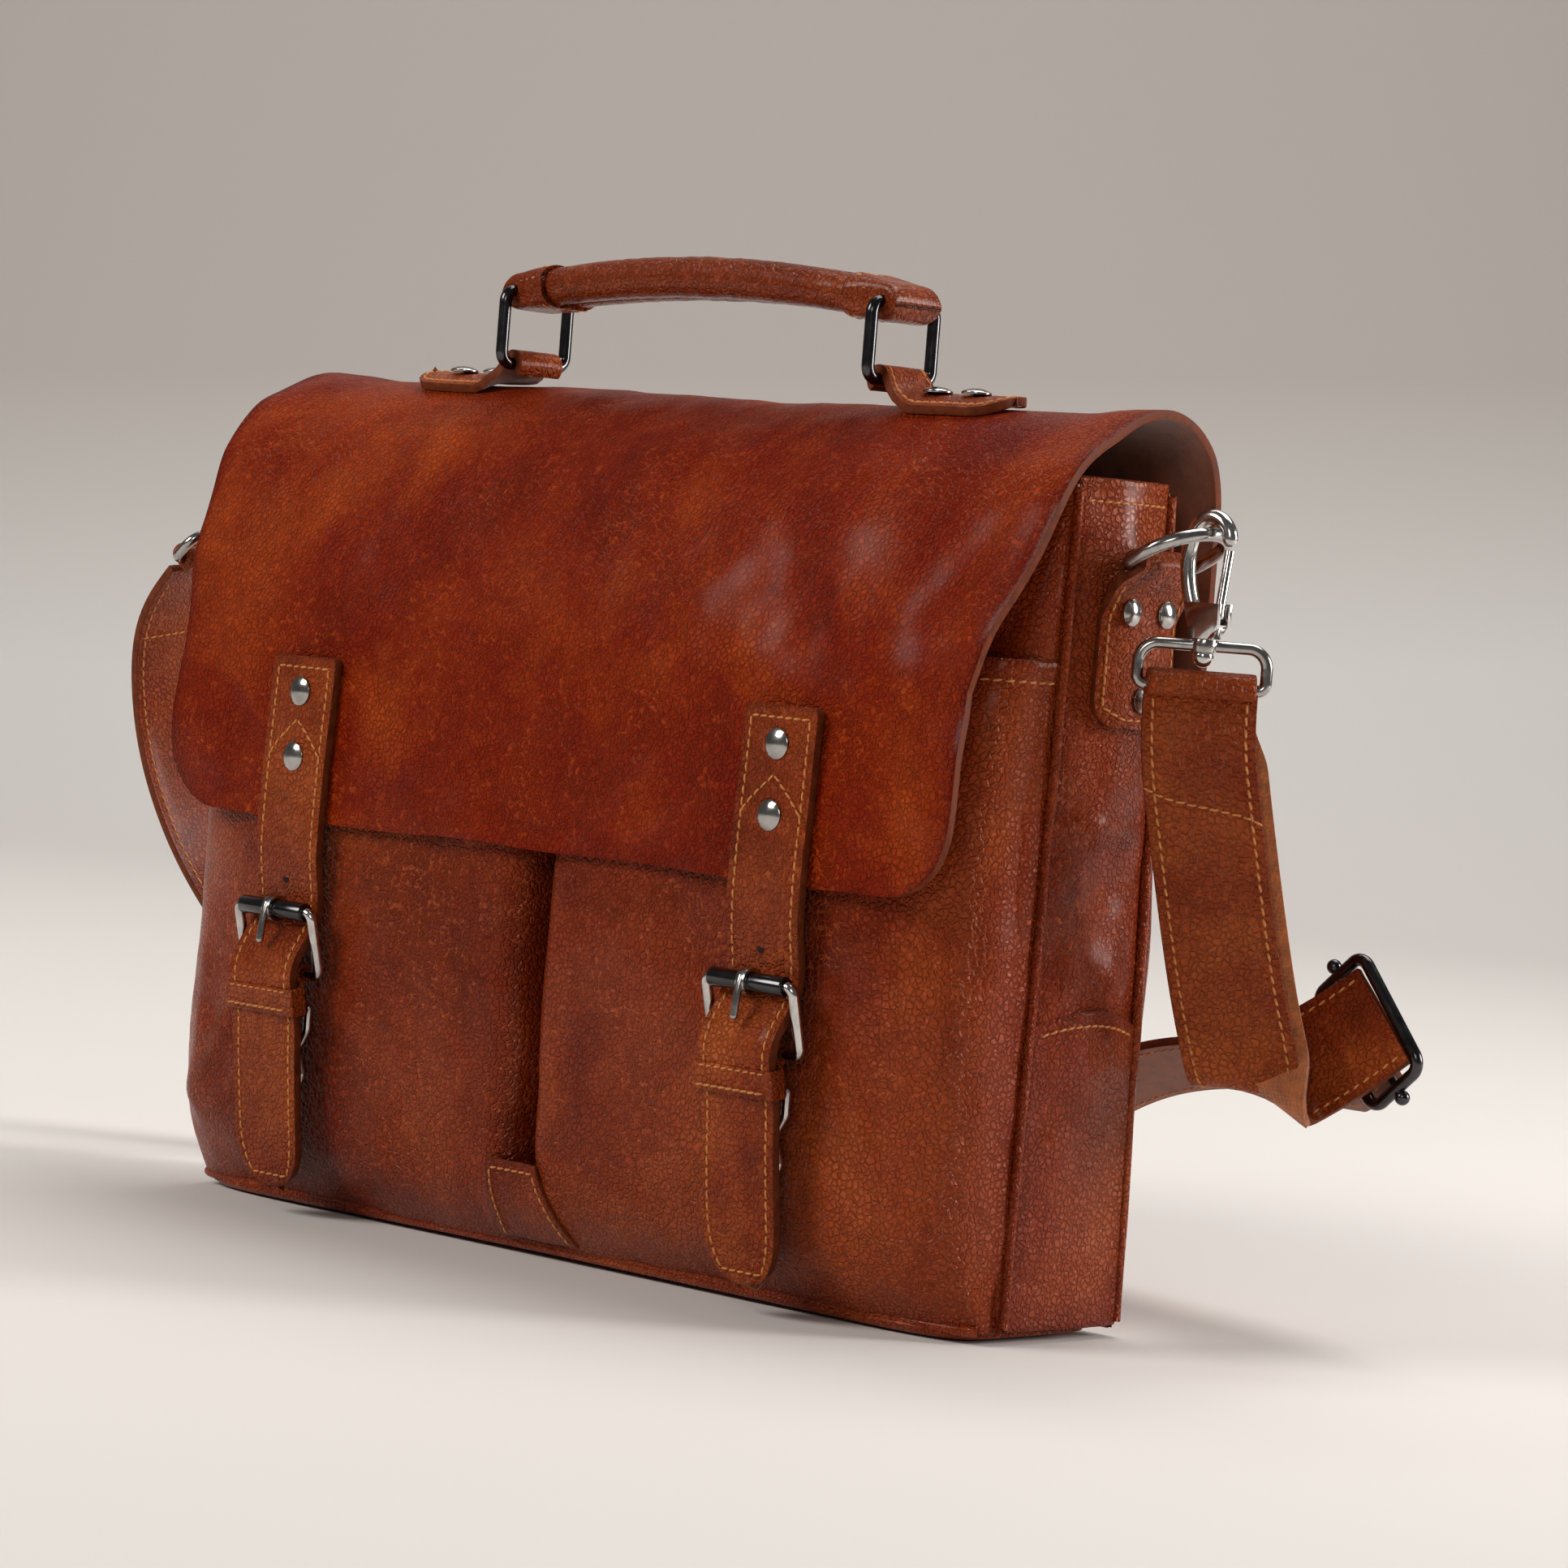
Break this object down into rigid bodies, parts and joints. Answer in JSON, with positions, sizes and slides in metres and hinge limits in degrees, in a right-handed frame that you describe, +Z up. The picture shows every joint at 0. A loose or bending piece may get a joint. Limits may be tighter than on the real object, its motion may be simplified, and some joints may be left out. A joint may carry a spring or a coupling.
{
  "type": "leather briefcase",
  "caption": "Soft leather briefcase with a fold-over flap, front pockets, buckled straps that end in clips, a ring-hung handle and a clip-on shoulder strap.",
  "frame": {"origin": "middle of the base on the floor, below the middle of the side panels", "axes": "+X to the bag's right as seen from the front, -Y to the front where the flap hangs, +Z up"},
  "size_m": [0.5932, 0.2413, 0.3607],
  "materials": {
    "leather_bag": "polished grain leather, mottled cognac",
    "leather_flap": "polished grain leather, mottled cognac, raw edges",
    "leather_strap": "stitched strap leather",
    "leather_handle": "padded stitched leather",
    "webbing": "woven cotton webbing",
    "gunmetal": "glossy dark nickel plating"
  },
  "bodies": {
    "bag": {"base_panel": "leather_bag", "front_panel": "leather_bag", "back_panel": "leather_bag", "bottom_patch": "leather_bag", "piping": "leather_bag", "side_tab_rivets": "gunmetal", "shoulder_strap": "leather_strap", "shoulder_drop": "leather_strap", "shoulder_webbing": "webbing", "gusset_left": "leather_bag", "gusset_patch_left": "leather_bag", "pocket_left": "leather_bag", "clip_stud_left": "gunmetal", "side_tab_left": "leather_strap", "strap_fold_left": "leather_strap", "gusset_right": "leather_bag", "gusset_patch_right": "leather_bag", "pocket_right": "leather_bag", "clip_stud_right": "gunmetal", "side_tab_right": "leather_strap", "strap_fold_right": "leather_strap"},
    "flap": {"flap": "leather_flap", "strap_rivets": "gunmetal", "handle_tab_rivets": "gunmetal", "front_strap_left": "leather_strap", "keeper_left": "leather_strap", "buckle_left": "gunmetal", "chape_left": "leather_strap", "handle_tab_left": "leather_strap", "front_strap_right": "leather_strap", "keeper_right": "leather_strap", "buckle_right": "gunmetal", "chape_right": "leather_strap", "handle_tab_right": "leather_strap"},
    "handle": {"handle": "leather_handle"},
    "slide_adjuster": {"slide_adjuster": "gunmetal"},
    "roller_left": {"roller_left": "gunmetal"},
    "prong_left": {"prong_left": "gunmetal"},
    "clip_left": {"clip_left": "gunmetal"},
    "clip_lever_left": {"clip_lever_left": "gunmetal"},
    "handle_ring_left": {"handle_ring_left": "gunmetal"},
    "d_ring_left": {"d_ring_left": "gunmetal"},
    "strap_loop_left": {"strap_loop_left": "gunmetal"},
    "snap_hook_left": {"snap_hook_left": "gunmetal"},
    "hook_gate_left": {"hook_gate_left": "gunmetal"},
    "roller_right": {"roller_right": "gunmetal"},
    "prong_right": {"prong_right": "gunmetal"},
    "clip_right": {"clip_right": "gunmetal"},
    "clip_lever_right": {"clip_lever_right": "gunmetal"},
    "handle_ring_right": {"handle_ring_right": "gunmetal"},
    "d_ring_right": {"d_ring_right": "gunmetal"},
    "strap_loop_right": {"strap_loop_right": "gunmetal"},
    "snap_hook_right": {"snap_hook_right": "gunmetal"},
    "hook_gate_right": {"hook_gate_right": "gunmetal"}
  },
  "joints": [
    {"name": "flap_hinge", "type": "hinge", "parent": "bag", "child": "flap", "pos_m": [0, 0.0425, 0.2478], "axis": [-1, 0, 0], "range_deg": [0, 115]},
    {"name": "roller_spin_left", "type": "hinge", "parent": "flap", "child": "roller_left", "pos_m": [-0.122, -0.081, 0.113], "axis": [1, 0, 0], "continuous": true},
    {"name": "prong_lift_left", "type": "hinge", "parent": "flap", "child": "prong_left", "pos_m": [-0.122, -0.081, 0.113], "axis": [-1, 0, 0], "range_deg": [0, 100]},
    {"name": "clip_swing_left", "type": "hinge", "parent": "flap", "child": "clip_left", "pos_m": [-0.122, -0.0736, 0.0775], "axis": [1, 0, 0], "range_deg": [-0.5, 4]},
    {"name": "clip_release_left", "type": "hinge", "parent": "clip_left", "child": "clip_lever_left", "pos_m": [-0.122, -0.0736, 0.062], "axis": [-1, 0, 0], "range_deg": [0, 9], "stiffness_Nm_per_rad": 0.004},
    {"name": "roller_spin_right", "type": "hinge", "parent": "flap", "child": "roller_right", "pos_m": [0.122, -0.081, 0.113], "axis": [1, 0, 0], "continuous": true},
    {"name": "prong_lift_right", "type": "hinge", "parent": "flap", "child": "prong_right", "pos_m": [0.122, -0.081, 0.113], "axis": [-1, 0, 0], "range_deg": [0, 100]},
    {"name": "clip_swing_right", "type": "hinge", "parent": "flap", "child": "clip_right", "pos_m": [0.122, -0.0736, 0.0775], "axis": [1, 0, 0], "range_deg": [-0.5, 4]},
    {"name": "clip_release_right", "type": "hinge", "parent": "clip_right", "child": "clip_lever_right", "pos_m": [0.122, -0.0736, 0.062], "axis": [-1, 0, 0], "range_deg": [0, 9], "stiffness_Nm_per_rad": 0.004},
    {"name": "handle_swing", "type": "hinge", "parent": "flap", "child": "handle_ring_left", "pos_m": [-0.093, 0, 0.3195], "axis": [0, 1, 0], "range_deg": [-48, 48]},
    {"name": "handle_pivot", "type": "hinge", "parent": "handle_ring_left", "child": "handle", "pos_m": [-0.093, 0, 0.3465], "axis": [0, 1, 0], "range_deg": [-48, 48]},
    {"name": "handle_ring_swing", "type": "hinge", "parent": "flap", "child": "handle_ring_right", "pos_m": [0.093, 0, 0.3195], "axis": [0, 1, 0], "range_deg": [-48, 48]},
    {"name": "d_ring_hinge_left", "type": "hinge", "parent": "bag", "child": "d_ring_left", "pos_m": [-0.214, 0.004, 0.262], "axis": [0, -1, 0], "range_deg": [-0.5, 6]},
    {"name": "strap_loop_hinge_left", "type": "hinge", "parent": "bag", "child": "strap_loop_left", "pos_m": [-0.27368, 0.004, 0.23988], "axis": [-0.1137, 0.9855, 0.1263], "range_deg": [-1.5, 1.5]},
    {"name": "hook_swivel_left", "type": "hinge", "parent": "strap_loop_left", "child": "snap_hook_left", "pos_m": [-0.26253, 0.004, 0.24992], "axis": [0.7431, 0, 0.6691], "range_deg": [-10, 10]},
    {"name": "gate_left", "type": "hinge", "parent": "snap_hook_left", "child": "hook_gate_left", "pos_m": [-0.25932, 0.004, 0.2598], "axis": [0, 1, 0], "range_deg": [0, 6], "stiffness_Nm_per_rad": 0.01},
    {"name": "d_ring_hinge_right", "type": "hinge", "parent": "bag", "child": "d_ring_right", "pos_m": [0.214, 0.004, 0.262], "axis": [0, 1, 0], "range_deg": [-0.5, 6]},
    {"name": "strap_loop_hinge_right", "type": "hinge", "parent": "bag", "child": "strap_loop_right", "pos_m": [0.23607, 0.004, 0.22314], "axis": [0.7071, 0.7071, 0], "range_deg": [-1.5, 1.5]},
    {"name": "hook_swivel_right", "type": "hinge", "parent": "strap_loop_right", "child": "snap_hook_right", "pos_m": [0.23607, 0.004, 0.23814], "axis": [0, 0, 1], "range_deg": [-10, 10]},
    {"name": "gate_right", "type": "hinge", "parent": "snap_hook_right", "child": "hook_gate_right", "pos_m": [0.24127, 0.004, 0.24714], "axis": [0, -1, 0], "range_deg": [0, 6], "stiffness_Nm_per_rad": 0.01},
    {"name": "adjuster_tilt", "type": "hinge", "parent": "bag", "child": "slide_adjuster", "pos_m": [0.26177, 0.07618, 0.11114], "axis": [0.6404, -0.0168, -0.7679], "range_deg": [-2, 2]}
  ],
  "couplings": [
    {"joint": "handle_pivot", "follows": "handle_swing", "ratio": -1},
    {"joint": "handle_ring_swing", "follows": "handle_swing", "ratio": 1}
  ]
}
